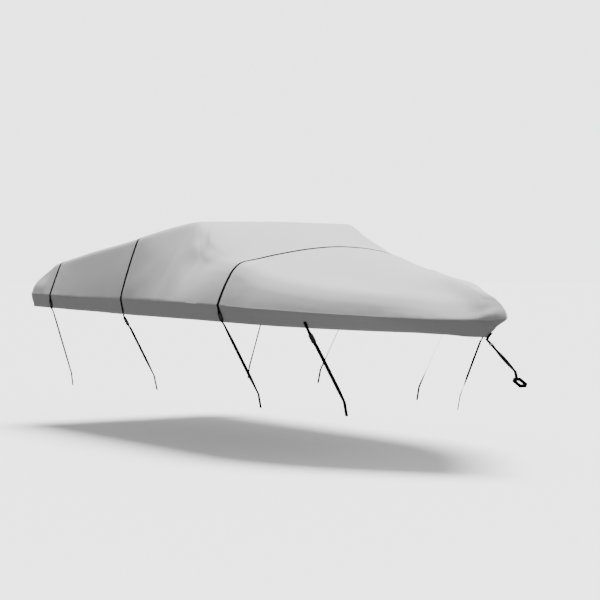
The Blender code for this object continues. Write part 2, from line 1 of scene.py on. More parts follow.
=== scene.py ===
# %% [markdown]
# # A fitted boat cover
#
# The real thing is one large sheet of coated polyester, cut and sewn to a boat's outline,
# with black webbing over it and buckled straps that pull its skirt down. It is drawn so
# tight that it keeps a clear shape: a steep ridge across, flat slopes aft of it, a rounded
# deck forward of it and a sharp crease along the rail. We build that shape from a table of
# ribs, as a boat builder's table of offsets does, and then add what makes it cloth: soft
# folds, dimples along the seam, a rolled hem, stitches and a weave.

# %% Load the frame
import math
from collections import namedtuple

import bmesh
import bpy
import numpy as np
from mathutils import Matrix, Vector, noise


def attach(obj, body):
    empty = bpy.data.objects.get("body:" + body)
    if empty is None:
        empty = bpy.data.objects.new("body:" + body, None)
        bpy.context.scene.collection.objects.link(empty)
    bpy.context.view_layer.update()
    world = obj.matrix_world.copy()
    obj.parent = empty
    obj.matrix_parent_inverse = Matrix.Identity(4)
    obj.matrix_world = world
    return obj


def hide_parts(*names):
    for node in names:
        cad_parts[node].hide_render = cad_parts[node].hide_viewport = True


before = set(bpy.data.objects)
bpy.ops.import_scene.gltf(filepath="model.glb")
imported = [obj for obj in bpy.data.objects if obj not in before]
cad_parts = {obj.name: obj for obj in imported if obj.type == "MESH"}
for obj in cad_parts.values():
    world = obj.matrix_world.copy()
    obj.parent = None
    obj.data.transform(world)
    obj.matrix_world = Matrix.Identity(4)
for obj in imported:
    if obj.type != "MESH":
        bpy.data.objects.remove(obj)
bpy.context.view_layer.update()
print("solids in the frame:", len(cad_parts))

# %% [markdown]
# ## The camera
#
# A photograph taken from a distance with a long lens flattens the object, so the lens
# matters as much as the place. The camera stands off the starboard bow, a little above the
# rail, and looks down by one degree.

# %% Camera
SENSOR = 36.0
IMAGE_WIDTH = 600.0
FOCAL_PIXELS = 1722.0
CAMERA_AT = Vector((11.475, -7.14, -0.361))
CAMERA_TURN = math.radians(32.7)
CAMERA_DOWN = math.radians(1.065)

camera_data = bpy.data.cameras.new("camera")
camera_data.sensor_width = SENSOR
camera_data.lens = FOCAL_PIXELS / IMAGE_WIDTH * SENSOR
camera_data.clip_end = 400.0
camera = bpy.data.objects.new("camera", camera_data)
look = Vector((
    -math.cos(CAMERA_TURN) * math.cos(CAMERA_DOWN),
    math.sin(CAMERA_TURN) * math.cos(CAMERA_DOWN),
    -math.sin(CAMERA_DOWN),
))
camera.location = CAMERA_AT
camera.rotation_euler = look.to_track_quat("-Z", "Y").to_euler()
bpy.context.collection.objects.link(camera)
bpy.context.scene.camera = camera
print("lens", round(camera_data.lens, 1), "mm")

# %% [markdown]
# ## The table of ribs
#
# A rib is one line of the cover from its hem up over the rail and shoulder to the middle.
# Each row of the table gives one rib by a few sizes in metres. Between the rows every size
# runs on a smooth curve that never overshoots, so a tight cloth gets no false waves.

# %% Ribs
CLOTH = 0.002
RIDGE_S = 2.377
CROWN_REACH = 0.5

RIB_COLUMNS = (
    "rail_s rail_y rail_z hem_in hem_drop low_in low_rise low_soft"
    " high_in high_rise high_soft spine_s spine_z"
)
Rib = namedtuple("Rib", RIB_COLUMNS)


STERN_WIDTHS = (0.0, 0.1, 0.2, 0.32, 0.45, 0.6, 0.72, 0.83, 0.915)
STERN_CURVE = 0.0096  # the stern's edge runs forward by this times its half width squared
STERN_BENDS = ((0.100, 0.082, 0.035), (0.364, 0.275, 0.060))  # station, rise, softness


def stern_rib(rail_y):
    """A rib from the flat stern: both its bends lie on straight lines across the cover."""
    rail_s = STERN_CURVE * rail_y**2
    spine_s = 0.400 + 0.038 * rail_y / STERN_WIDTHS[-1]
    per_s = math.hypot(spine_s - rail_s, rail_y) / (spine_s - rail_s)
    low, high = (((s - rail_s) * per_s, rise, soft * per_s) for s, rise, soft in STERN_BENDS)
    spine_z = 0.305 + 0.225 * (spine_s - STERN_BENDS[1][0])
    return Rib(rail_s, rail_y, 0.030, 0.022, 0.108, *low, *high, spine_s, spine_z)


STERN = tuple(stern_rib(y) for y in STERN_WIDTHS)
RIBS = STERN + (
    Rib(0.030, 0.996, 0.030, 0.022, 0.108, 0.120, 0.068, 0.09, 0.877, 0.275, 0.16, 0.439, 0.3219),
    Rib(0.089, 1.055, 0.030, 0.022, 0.108, 0.036, 0.066, 0.03, 0.871, 0.275, 0.19, 0.442, 0.3225),
    Rib(0.170, 1.077, 0.029, 0.022, 0.109, 0.065, 0.139, 0.03, 0.798, 0.276, 0.22, 0.445, 0.3232),
    Rib(0.300, 1.077, 0.027, 0.022, 0.110, 0.098, 0.224, 0.05, 0.473, 0.276, 0.20, 0.450, 0.3243),
    Rib(0.400, 1.077, 0.026, 0.022, 0.111, 0.104, 0.261, 0.04, 0.430, 0.285, 0.10, 0.462, 0.326),
    Rib(0.480, 1.077, 0.025, 0.022, 0.111, 0.106, 0.274, 0.04, 0.420, 0.300, 0.10, 0.480, 0.330),
    Rib(1.100, 1.077, 0.014, 0.024, 0.111, 0.122, 0.376, 0.04, 0.520, 0.398, 0.10, 1.100, 0.424),
    Rib(1.826, 1.077, 0.009, 0.026, 0.119, 0.160, 0.480, 0.04, 0.620, 0.488, 0.10, 1.826, 0.504),
    Rib(2.105, 1.077, 0.006, 0.028, 0.121, 0.262, 0.555, 0.05, 0.700, 0.558, 0.10, 2.105, 0.568),
    Rib(2.300, 1.077, 0.005, 0.029, 0.122, 0.336, 0.592, 0.05, 0.740, 0.596, 0.08, 2.300, 0.605),
    Rib(2.377, 1.077, 0.004, 0.030, 0.122, 0.365, 0.600, 0.05, 0.750, 0.605, 0.06, 2.377, 0.613),
    Rib(2.450, 1.077, 0.003, 0.030, 0.122, 0.345, 0.568, 0.06, 0.580, 0.592, 0.08, 2.450, 0.601),
    Rib(2.560, 1.077, 0.002, 0.031, 0.122, 0.310, 0.455, 0.06, 0.420, 0.553, 0.09, 2.560, 0.577),
    Rib(2.680, 1.077, 0.000, 0.032, 0.121, 0.262, 0.335, 0.06, 0.360, 0.500, 0.09, 2.680, 0.550),
    Rib(2.950, 1.075, -0.005, 0.036, 0.120, 0.195, 0.296, 0.07, 0.380, 0.408, 0.12, 2.950, 0.487),
    Rib(3.295, 1.054, -0.013, 0.043, 0.120, 0.152, 0.298, 0.08, 0.440, 0.348, 0.16, 3.295, 0.407),
    Rib(3.610, 0.990, -0.028, 0.047, 0.117, 0.130, 0.226, 0.10, 0.490, 0.295, 0.16, 3.610, 0.342),
    Rib(3.880, 0.899, -0.040, 0.051, 0.114, 0.110, 0.191, 0.10, 0.490, 0.258, 0.16, 3.880, 0.290),
    Rib(4.180, 0.757, -0.056, 0.057, 0.108, 0.093, 0.161, 0.09, 0.430, 0.235, 0.14, 4.180, 0.238),
    Rib(4.440, 0.590, -0.069, 0.066, 0.104, 0.081, 0.141, 0.08, 0.350, 0.220, 0.12, 4.430, 0.207),
    Rib(4.645, 0.434, -0.079, 0.088, 0.101, 0.071, 0.126, 0.08, 0.290, 0.208, 0.10, 4.550, 0.193),
    Rib(4.835, 0.284, -0.086, 0.120, 0.105, 0.070, 0.106, 0.07, 0.240, 0.202, 0.10, 4.610, 0.185),
    Rib(4.978, 0.158, -0.087, 0.150, 0.114, 0.072, 0.094, 0.06, 0.200, 0.190, 0.10, 4.650, 0.178),
    Rib(5.091, 0.067, -0.080, 0.170, 0.125, 0.055, 0.082, 0.04, 0.180, 0.174, 0.08, 4.680, 0.171),
    Rib(5.160, 0.021, -0.072, 0.180, 0.133, 0.030, 0.074, 0.04, 0.165, 0.160, 0.08, 4.700, 0.166),
    Rib(5.190, 0.000, -0.068, 0.184, 0.140, 0.018, 0.068, 0.04, 0.155, 0.152, 0.08, 4.710, 0.163),
)
FIRST_SIDE_ROW = len(STERN) + 2  # past the stern's rounded corner


def monotone_slopes(knots, values):
    """Slopes at the knots that never let the curve overshoot its values."""
    steps = np.diff(knots)
    rises = np.diff(values) / steps
    slopes = np.zeros(len(values))
    same_way = rises[:-1] * rises[1:] > 0
    weight_a = 2 * steps[1:] + steps[:-1]
    weight_b = steps[1:] + 2 * steps[:-1]
    before = np.where(same_way, rises[:-1], 1.0)
    after = np.where(same_way, rises[1:], 1.0)
    mean = (weight_a + weight_b) / (weight_a / before + weight_b / after)
    slopes[1:-1] = np.where(same_way, mean, 0.0)
    slopes[0], slopes[-1] = rises[0], rises[-1]
    return slopes


TABLE = np.array(RIBS)
KNOTS = np.concatenate([[0.0], np.cumsum(np.hypot(*np.diff(TABLE[:, :2], axis=0).T))])
SLOPES = np.array([monotone_slopes(KNOTS, column) for column in TABLE.T]).T


def rib_at(t):
    """The table's row at any place t along the rail."""
    i = int(np.clip(np.searchsorted(KNOTS, t) - 1, 0, len(KNOTS) - 2))
    span = KNOTS[i + 1] - KNOTS[i]
    u = (t - KNOTS[i]) / span
    row = (
        TABLE[i] * (2 * u**3 - 3 * u**2 + 1)
        + SLOPES[i] * span * (u**3 - 2 * u**2 + u)
        + TABLE[i + 1] * (3 * u**2 - 2 * u**3)
        + SLOPES[i + 1] * span * (u**3 - u**2)
    )
    return Rib(*row)


def place_of_station(s):
    """The place along the rail at station s, forward of the stern's corner."""
    low, high = KNOTS[FIRST_SIDE_ROW], KNOTS[-1]
    for _ in range(40):
        middle = (low + high) / 2
        if rib_at(middle).rail_s < s:
            low = middle
        else:
            high = middle
    return (low + high) / 2


TO_ROW = Vector((-RIDGE_S, 0.0, CLOTH - rib_at(place_of_station(RIDGE_S)).spine_z))
print("rail length of one side", round(KNOTS[-1], 2), "m")

# %% [markdown]
# ## One fine rib
#
# The hem is a roll of cloth over a cord, so the skirt needs a few close marks at its edge.
# The side is straight, because the cloth is pulled over it, and the two bends are Bezier
# curves, which turn gently into the flats on both sides of them.

# %% Rib points
SKIRT_MARKS = (0.0, 0.03, 0.06, 0.09, 0.15, 0.185, 0.21, 0.32, 0.5, 0.7, 0.88, 0.96, 1.0)
SIDE_MARKS = (0.04, 0.12, 0.24, 0.36, 0.48, 0.6, 0.72, 0.84, 0.94)
BEND_STEPS, LEG_STEPS, TOP_STEPS = 7, 6, 26
RAIL_COLUMN = len(SKIRT_MARKS) - 1
BEND_COLUMN = RAIL_COLUMN + len(SIDE_MARKS) + BEND_STEPS // 2
SLOPE_STEP = 0.01
LONGEST_BEND = 0.45  # the share of a straight run that a bend may take up


def spine_slope(t):
    """Rise of the centre line per metre forward, at the top of rib t."""
    a = rib_at(max(t - SLOPE_STEP, 0.0))
    b = rib_at(min(t + SLOPE_STEP, KNOTS[-1]))
    return (b.spine_z - a.spine_z) / (b.spine_s - a.spine_s)


def bezier(points, u):
    """A point on the Bezier curve of any number of control points."""
    while len(points) > 1:
        points = [a.lerp(b, u) for a, b in zip(points, points[1:])]
    return points[0]


def rib_points(t):
    """One half rib on the port side, from the hem over the rail and shoulder to the spine."""
    rib = rib_at(t)
    rail = Vector((rib.rail_s, rib.rail_y, rib.rail_z))
    spine = Vector((rib.spine_s, 0.0, rib.spine_z))
    inward = Vector((spine.x - rail.x, spine.y - rail.y, 0.0)).normalized()
    up = Vector((0.0, 0.0, 1.0))
    hem = rail + inward * rib.hem_in - up * rib.hem_drop
    low = rail + inward * rib.low_in + up * rib.low_rise
    high = rail + inward * rib.high_in + up * rib.high_rise
    crown = spine.lerp(high, CROWN_REACH)
    crown.z = spine.z + spine_slope(t) * (crown.x - spine.x)
    bend_from = low + (rail - low).normalized() * rib.low_soft
    bend_to = low + (high - low).normalized() * rib.low_soft
    leg_soft = min(rib.high_soft, LONGEST_BEND * (high - low).length)
    leg_to = high + (low - high).normalized() * leg_soft
    points = [hem.lerp(rail, mark) for mark in SKIRT_MARKS]
    points += [rail.lerp(bend_from, mark) for mark in SIDE_MARKS]
    points += [bezier([bend_from, low, bend_to], k / BEND_STEPS) for k in range(BEND_STEPS)]
    points += [bend_to.lerp(leg_to, k / LEG_STEPS) for k in range(LEG_STEPS)]
    points += [bezier([leg_to, high, crown, spine], k / TOP_STEPS) for k in range(TOP_STEPS + 1)]
    return [point + TO_ROW for point in points]


# %% [markdown]
# ## Folds
#
# Broad folds come from the same kind of table as the ribs: from one place to another on one
# side, or on both where the side is 0, with a width and a height. Places are a station along
# the cover and a way up the cloth from the rail. Fine folds run from the straps, where the
# pull gathers the cloth, and from the corners of the ridge. The steep side swells a little
# too, and between them all lies a quiet unevenness, because no sheet of this size is flat.

# %% Tables of straps and folds
Tie = namedtuple("Tie", "name s over buckle_at turn_s turn_y turn_z end_y end_z twist_deg")
TIES = (
    Tie("aft", 0.510, True, 0.052, 0.510, 0.880, -0.640, 0.866, -0.745, 6),
    Tie("mid", 1.826, True, 0.150, 1.826, 0.783, -0.599, 0.758, -0.711, 22),
    Tie("fore", 3.295, True, 0.055, 3.295, 0.716, -0.654, 0.696, -0.756, 30),
    Tie("quarter", 4.035, False, 0.172, 4.075, 0.501, -0.668, 0.480, -0.770, 50),
)
SIDES = {-1: "starboard", 1: "port"}

Fold = namedtuple("Fold", "side s_from up_from s_to up_to width height")
FOLDS = (
    Fold(-1, 1.90, 0.47, 2.30, 0.34, 0.060, 0.004),
    Fold(-1, 1.86, 0.06, 2.15, 0.22, 0.050, 0.003),
    Fold(-1, 2.45, 0.46, 2.80, 0.15, 0.070, -0.004),
    Fold(-1, 3.42, 0.03, 3.50, 0.19, 0.045, 0.001),
    Fold(-1, 0.80, 0.21, 1.50, 0.27, 0.110, -0.001),
    Fold(-1, 4.95, 0.17, 5.10, 0.02, 0.035, 0.002),
    Fold(1, 1.92, 0.42, 2.35, 0.28, 0.070, 0.004),
    Fold(1, 0.75, 0.25, 1.55, 0.23, 0.120, -0.005),
    Fold(1, 2.75, 0.19, 3.15, 0.12, 0.070, -0.004),
    Fold(1, 3.12, 0.52, 3.40, 0.46, 0.250, -0.044),
    Fold(1, 3.30, 0.38, 3.75, 0.28, 0.120, -0.024),
)
# Creases and soft swells finer than the plain solid carries.
FINE_FOLDS = (
    Fold(0, 1.86, 0.45, 2.06, 0.36, 0.014, 0.0022),
    Fold(0, 1.86, 0.40, 2.00, 0.31, 0.012, 0.0018),
    Fold(0, 1.86, 0.34, 1.97, 0.27, 0.012, 0.0016),
    Fold(0, 1.86, 0.17, 1.99, 0.09, 0.013, 0.0020),
    Fold(0, 1.87, 0.12, 1.97, 0.05, 0.012, 0.0018),
    Fold(-1, 2.57, 0.475, 2.78, 0.405, 0.070, 0.017),
    Fold(1, 4.20, 0.220, 4.80, 0.160, 0.130, -0.016),
    Fold(0, 0.04, 0.070, 0.32, 0.070, 0.060, 0.012),
    Fold(0, 0.06, -0.040, 0.20, -0.045, 0.040, 0.006),
    Fold(0, 2.30, 0.66, 2.12, 0.50, 0.040, 0.0018),
    Fold(0, 2.34, 0.60, 2.24, 0.42, 0.036, 0.0010),
    Fold(0, 3.35, 0.22, 3.56, 0.25, 0.024, 0.0008),
    Fold(0, 3.36, 0.12, 3.55, 0.16, 0.022, 0.0010),
    Fold(0, 3.22, 0.16, 3.08, 0.21, 0.026, 0.0008),
    Fold(0, 3.34, 0.04, 3.46, 0.08, 0.016, 0.0016),
    Fold(0, 0.55, 0.22, 0.72, 0.16, 0.016, 0.0018),
    Fold(0, 0.56, 0.12, 0.70, 0.06, 0.014, 0.0016),
    Fold(0, 4.80, -0.11, 4.86, 0.02, 0.012, 0.0030),
    Fold(0, 4.92, -0.10, 4.98, 0.03, 0.012, 0.0024),
    Fold(0, 5.04, 0.14, 5.13, 0.05, 0.013, 0.0020),
    Fold(0, 4.96, 0.18, 5.08, 0.06, 0.014, 0.0018),
)
# The full, blunt end of the cloth where it turns round the bow beside the seam.
BOW_FOLDS = (
    Fold(0, 5.10, 0.022, 5.19, 0.022, 0.045, 0.020),
    Fold(0, 5.12, -0.042, 5.19, -0.042, 0.034, 0.013),
    Fold(0, 4.60, 0.0, 5.06, 0.0, 0.050, 0.005),
)
# How far the steep side swells between rail and bend, at stations along the cover.
FULLNESS = (
    (0.3, 0.001), (1.1, 0.003), (1.826, 0.010), (2.2, 0.022), (2.6, 0.026), (2.95, 0.017),
    (3.295, 0.011), (3.6, 0.008), (4.2, 0.005), (4.7, 0.003), (5.0, 0.0),
)


def fold_height(folds, side, s, up):
    """How far the folds of one side push the cloth out, for arrays of places."""
    total = np.zeros_like(s)
    for fold in folds:
        if fold.side not in (0, side):
            continue
        run_s, run_up = fold.s_to - fold.s_from, fold.up_to - fold.up_from
        off_s, off_up = s - fold.s_from, up - fold.up_from
        share = np.clip((off_s * run_s + off_up * run_up) / (run_s**2 + run_up**2), 0.0, 1.0)
        gap = np.hypot(off_s - run_s * share, off_up - run_up * share) / fold.width
        total += fold.height * np.exp(-gap * gap)
    return total


def soft_noise(points, size, seed):
    """Smooth noise from -1 to 1 at an array of points, with bumps of about the given size."""
    shift = Vector((17.3 * seed, 5.1 * seed, 9.7 * seed))
    flat = points.reshape(-1, 3)
    values = [noise.noise(Vector(p) / size + shift) for p in flat]
    return np.array(values).reshape(points.shape[:-1])


# %% [markdown]
# ## The cloth
#
# The cloth starts as a flat grid with a row for each rib, and each vertex is moved to its
# place, as a sailmaker marks a flat cloth and then bends it. The two ends of the grid fold
# onto themselves at stern and bow, so merging the doubles sews them shut. Folds, dimples
# and the hem's roll push along the surface normal.

# %% Rows of the grid
ROW_STEP = 0.026
ROW_CLEAR = 0.02  # from the even rows to a strap's own
HALF_WEB = 0.0125
STRAP_ROWS = (-0.030, -0.018, -HALF_WEB, 0.0, HALF_WEB, 0.018, 0.030)


def grid_rows():
    """Places of the ribs, close and even, with fixed ones at each strap."""
    strap_rows = [place_of_station(tie.s + off) for tie in TIES for off in STRAP_ROWS]
    count = math.ceil(KNOTS[-1] / ROW_STEP)
    even = [KNOTS[-1] * k / count for k in range(count + 1)]
    ends = (0.0, KNOTS[-1])
    clear = [t for t in even if t in ends or min(abs(t - p) for p in strap_rows) > ROW_CLEAR]
    return sorted(clear + strap_rows)


ROWS = grid_rows()
HALF = np.array([[tuple(p) for p in rib_points(t)] for t in ROWS])
print("ribs", len(ROWS), "points on each half rib", HALF.shape[1])


# %% Hem and unevenness
ROLL_RADIUS, ROLL_RISE = 0.0055, 0.0032
TURNED_HEM, TURNED_SOFT, TURNED_RISE = 0.0215, 0.0018, 0.0011
STRAP_PRESS, STRAP_LANE = 0.0012, 0.022  # depth and half width of the dent under a strap
END_FADE, SPINE_FADE = 0.03, 0.05
DIMPLE_FADE = (0.055, 0.09)  # how the seam's dimples die out: above it, and both ways
SKIRT_DEPTH = 0.11
Unevenness = namedtuple("Unevenness", "height size seed")
DIMPLES = Unevenness(0.0022, 0.055, 1)
LONG_WAVES = Unevenness(0.0020, 0.42, 3)
RIPPLES = Unevenness(0.0007, 0.12, 6)
SKIRT_WAVES = Unevenness(0.0035, 0.20, 9)


def uneven(points, side, kind):
    """Height of one kind of unevenness, different on the two sides."""
    return kind.height * soft_noise(points, kind.size, kind.seed + side)


def hem_profile(from_hem):
    """Outward step of the turned hem and of the cord rolled in its edge."""
    roll = np.clip(1.0 - ((from_hem - ROLL_RADIUS) / ROLL_RADIUS) ** 2, 0.0, None)
    turned = 0.5 - 0.5 * np.tanh((from_hem - TURNED_HEM) / TURNED_SOFT)
    return ROLL_RISE * np.sqrt(roll) + TURNED_RISE * turned


def surface_normals(grid, side):
    """Outward normals of a grid of points."""
    across = np.cross(np.gradient(grid, axis=1), np.gradient(grid, axis=0)) * side
    return across / (np.linalg.norm(across, axis=2, keepdims=True) + 1e-12)


# %% Shape one side
def shaped_side(side):
    """Points of one side, and how far each lies above the rail line and from the hem."""
    grid = HALF.copy()
    grid[:, :, 1] *= side
    steps = np.linalg.norm(np.diff(grid, axis=1), axis=2)
    girth = np.concatenate([np.zeros((len(grid), 1)), np.cumsum(steps, axis=1)], axis=1)
    up = girth - girth[:, RAIL_COLUMN : RAIL_COLUMN + 1]
    s = grid[:, :, 0] - TO_ROW.x
    out = fold_height(FOLDS, side, s, up) * (up > -1e-9)
    out += fold_height(FINE_FOLDS, side, s, up)
    swell = np.interp(s[:, :1], *np.array(FULLNESS).T)
    rise = np.clip(up / up[:, BEND_COLUMN : BEND_COLUMN + 1], 0.0, 1.0)
    out += swell * 4.0 * rise * (1.0 - rise)
    above, around = DIMPLE_FADE
    near_rail = np.exp(-((np.clip(up, 0.0, None) / above) ** 2) - (up / around) ** 2)
    out += near_rail * uneven(grid, side, DIMPLES)
    out += uneven(grid, side, LONG_WAVES) + uneven(grid, side, RIPPLES)
    skirt = np.clip(-up / SKIRT_DEPTH, 0.0, 1.0)
    out += skirt * uneven(grid * np.array([1.0, 1.0, 0.0]), side, SKIRT_WAVES)
    for tie in TIES:
        lane = np.exp(-(((s[:, RAIL_COLUMN] - tie.s) / STRAP_LANE) ** 2))[:, None]
        out -= STRAP_PRESS * lane * (1.0 if tie.over else up < 0.0)
    edge = np.minimum(np.array(ROWS), KNOTS[-1] - np.array(ROWS))
    out *= np.clip(edge / END_FADE, 0.0, 1.0)[:, None]
    out += fold_height(BOW_FOLDS, side, s, up)
    out *= np.clip((girth[:, -1:] - girth) / SPINE_FADE, 0.0, 1.0)
    push = surface_normals(grid, side) * (out + hem_profile(girth))[:, :, None]
    push[[0, -1], :, 1] = 0.0  # at stern and bow the two sides meet in the middle plane
    return grid + push, up, girth


SHAPED = {side: shaped_side(side) for side in SIDES}
for side, (points, up, girth) in SHAPED.items():
    print(SIDES[side], "widest girth", round(float(girth[:, -1].max()), 3), "m")


# %% [markdown]
# ## Helpers for pieces
#
# Cloth and webbing both start as a flat grid that is bent to its place. Every piece becomes
# an object at the origin, with its place in its mesh, rides on the cover's one body and hides
# the plain solid it stands for, where it stands for one.

# %% Pieces
SAME_POINT = 0.00005


def bent_grid(along, across, map_name, placed):
    """A flat grid whose vertices go where placed(i, j) says, with their places on a map."""
    bm = bmesh.new()
    bmesh.ops.create_grid(bm, x_segments=along, y_segments=across, size=1.0)
    marks = {}
    for vert in bm.verts:
        i = round((vert.co.x + 1) / 2 * along)
        j = round((vert.co.y + 1) / 2 * across)
        vert.co, marks[vert.index] = placed(i, j)
    own = bm.loops.layers.uv.new(map_name)
    for face in bm.faces:
        for loop in face.loops:
            loop[own].uv = marks[loop.vert.index]
    return bm


def mesh_object(name, bm, surface):
    """Turns a bmesh into an object with one material."""
    mesh = bpy.data.meshes.new(name)
    bm.to_mesh(mesh)
    bm.free()
    mesh.materials.append(surface)
    made = bpy.data.objects.new(name, mesh)
    bpy.context.collection.objects.link(made)
    return made


def add_piece(name, bm, surface, nodes=(), smooth_angle=math.radians(40)):
    """Turns a bmesh into a finished piece of the cover."""
    made = mesh_object(name, bm, surface)
    made.data.shade_smooth()
    if smooth_angle is not None:
        made.data.set_sharp_from_angle(angle=smooth_angle)
    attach(made, "root")
    if nodes:
        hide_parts(*nodes)
    return made


def thicken(piece, thickness, offset):
    """Gives a sheet its thickness with Solidify: offset -1 keeps the outer face in place."""
    modifier = piece.modifiers.new("thickness", "SOLIDIFY")
    modifier.thickness = thickness
    modifier.offset = offset
    modifier.use_even_offset = True


# %% [markdown]
# ## Materials
#
# Colours are written as the sRGB values that a paint chart gives and turned to linear by
# one function. One small function adds a node, sets its values and links its inputs. The
# others each name a step that several materials take.

# %% Material helpers
def linear(hex_colour):
    """An sRGB hex colour as linear RGBA."""
    channels = [int(hex_colour[i : i + 2], 16) / 255 for i in (0, 2, 4)]
    curve = [c / 12.92 if c <= 0.04045 else ((c + 0.055) / 1.055) ** 2.4 for c in channels]
    return (*curve, 1.0)


def set_inputs(tree, node, inputs):
    """Sets inputs, by name or number, to values or links them to outputs."""
    for key, value in inputs.items():
        if isinstance(value, bpy.types.NodeSocket):
            tree.links.new(value, node.inputs[key])
        else:
            node.inputs[key].default_value = value


def add_node(tree, kind, inputs=None, **settings):
    """Adds a node with its settings and inputs."""
    node = tree.nodes.new(kind)
    for name, value in settings.items():
        setattr(node, name, value)
    set_inputs(tree, node, inputs or {})
    return node


def new_material(name):
    """A material, its node tree and its shader."""
    made = bpy.data.materials.new(name)
    made.use_nodes = True
    return made, made.node_tree, made.node_tree.nodes["Principled BSDF"]


def math_node(tree, operation, a, b=0.0, c=0.0):
    """One step of arithmetic between values or outputs."""
    return add_node(tree, "ShaderNodeMath", {0: a, 1: b, 2: c}, operation=operation).outputs[0]


def ramp(tree, value, low, high, at_low, at_high):
    """Runs from at_low to at_high while the value runs from low to high."""
    inputs = {"Value": value, "From Min": low, "From Max": high}
    ends = {"To Min": at_low, "To Max": at_high}
    return add_node(tree, "ShaderNodeMapRange", inputs | ends).outputs[0]


def band(tree, value, middle, half_width, soft):
    """1 within half_width of middle, falling to 0 over soft."""
    gap = math_node(tree, "ABSOLUTE", math_node(tree, "SUBTRACT", value, middle))
    return ramp(tree, gap, half_width, half_width + soft, 1.0, 0.0)


def wave(tree, way, pitch):
    """A sine along one way with the given pitch in metres."""
    return math_node(tree, "SINE", math_node(tree, "MULTIPLY", way, 2 * math.pi / pitch))


def speckle(tree, scale, detail, roughness=0.5):
    """Noise on the object's own coordinates; a higher scale is finer."""
    place = add_node(tree, "ShaderNodeTexCoord").outputs["Object"]
    inputs = {"Vector": place, "Scale": scale, "Detail": detail, "Roughness": roughness}
    return add_node(tree, "ShaderNodeTexNoise", inputs).outputs[0]


def mix(tree, share, hex_from, hex_to):
    """A colour between two."""
    inputs = {"Factor": share, 6: linear(hex_from), 7: linear(hex_to)}
    return add_node(tree, "ShaderNodeMix", inputs, data_type="RGBA").outputs[2]


def bump(tree, height, strength, distance):
    """The normal of a surface raised by a height."""
    inputs = {"Strength": strength, "Distance": distance, "Height": height}
    return add_node(tree, "ShaderNodeBump", inputs).outputs[0]


def own_map(tree, name):
    """The two ways of a UV map that holds metres."""
    place = add_node(tree, "ShaderNodeUVMap", uv_map=name).outputs[0]
    split = add_node(tree, "ShaderNodeSeparateXYZ", {0: place}).outputs
    return split[0], split[1]


# %% [markdown]
# ### Coated polyester
#
# The cloth is a 600 denier plain weave with a coating on its inner face, dyed in one light
# grey. It is matt with a slight sheen at a flat angle. Its threads are half a millimetre
# apart, which no picture of a five metre cover can show, so the weave is drawn at 2.4 mm.
# The felled seam and its row of stitches follow the cloth's own map, whose second axis is
# the height above the rail. Faint dust and an uneven dye lie over it all.

# %% Polyester
CLOTH_GREY = "B9B7B8"
CLOTH_DUSTY = "AFADAE"
DRAWN_WEAVE, WEAVE_RISE = 0.0024, 0.0001
SEAM_HALF, SEAM_SOFT, SEAM_RISE = 0.0045, 0.0008, 0.0009
STITCH_LINE, STITCH_HALF, STITCH_SOFT, STITCH_RISE = 0.0065, 0.0004, 0.0003, 0.0004
STITCH_PITCH, STITCH_GAP = 0.0045, 0.25
GRAIN_RISE = 0.0003


def polyester(name):
    """Light grey coated polyester on the map called cloth."""
    made, tree, shader = new_material(name)
    u, up = own_map(tree, "cloth")
    grain = speckle(tree, 140.0, 2.0)
    dust = math_node(tree, "MULTIPLY", speckle(tree, 2.3, 4.0, 0.55), 0.75)
    tone = math_node(tree, "MULTIPLY_ADD", grain, 0.35, dust)
    in_stitch = math_node(tree, "FRACT", math_node(tree, "DIVIDE", u, STITCH_PITCH))
    dash = math_node(tree, "GREATER_THAN", in_stitch, STITCH_GAP)
    stitch_line = band(tree, up, STITCH_LINE, STITCH_HALF, STITCH_SOFT)
    stitches = math_node(tree, "MULTIPLY", stitch_line, dash)
    # Waves two threads long in both ways cross to make one thread over, one under.
    threads = math_node(tree, "MULTIPLY", *(wave(tree, way, 2 * DRAWN_WEAVE) for way in (u, up)))
    seam = band(tree, up, 0.0, SEAM_HALF, SEAM_SOFT)
    height = math_node(tree, "MULTIPLY", seam, SEAM_RISE)
    for part, rise in ((threads, WEAVE_RISE), (stitches, STITCH_RISE), (grain, GRAIN_RISE)):
        height = math_node(tree, "MULTIPLY_ADD", part, rise, height)
    look = {
        "Base Color": mix(tree, tone, CLOTH_DUSTY, CLOTH_GREY),
        "Normal": bump(tree, height, 0.6, 1.0),
        "Roughness": 0.72,
        "Specular IOR Level": 0.35,
        "Sheen Weight": 0.12,
        "Sheen Roughness": 0.5,
    }
    set_inputs(tree, shader, look)
    return made


cloth_surface = polyester("coated polyester, plain weave, light grey")

# %% [markdown]
# ### Webbing, buckles and slide
#
# The straps are black polypropylene webbing: cross ribs 1.6 mm apart over fine lengthwise
# yarns, matt and slightly worn. The buckles are moulded acetal, a hard black plastic with a
# fine spark-eroded grain. The slide is plated steel wire, the cover's one bright spot.

# %% Webbing, plastic and steel
RIB_PITCH, YARN_PITCH = 0.0016, 0.0009
WEBBING_BLACK, WEBBING_WORN = "121214", "1C1C1E"
SELVEDGE, SELVEDGE_HALF = 0.0117, 0.0004  # the thicker edge of the webbing


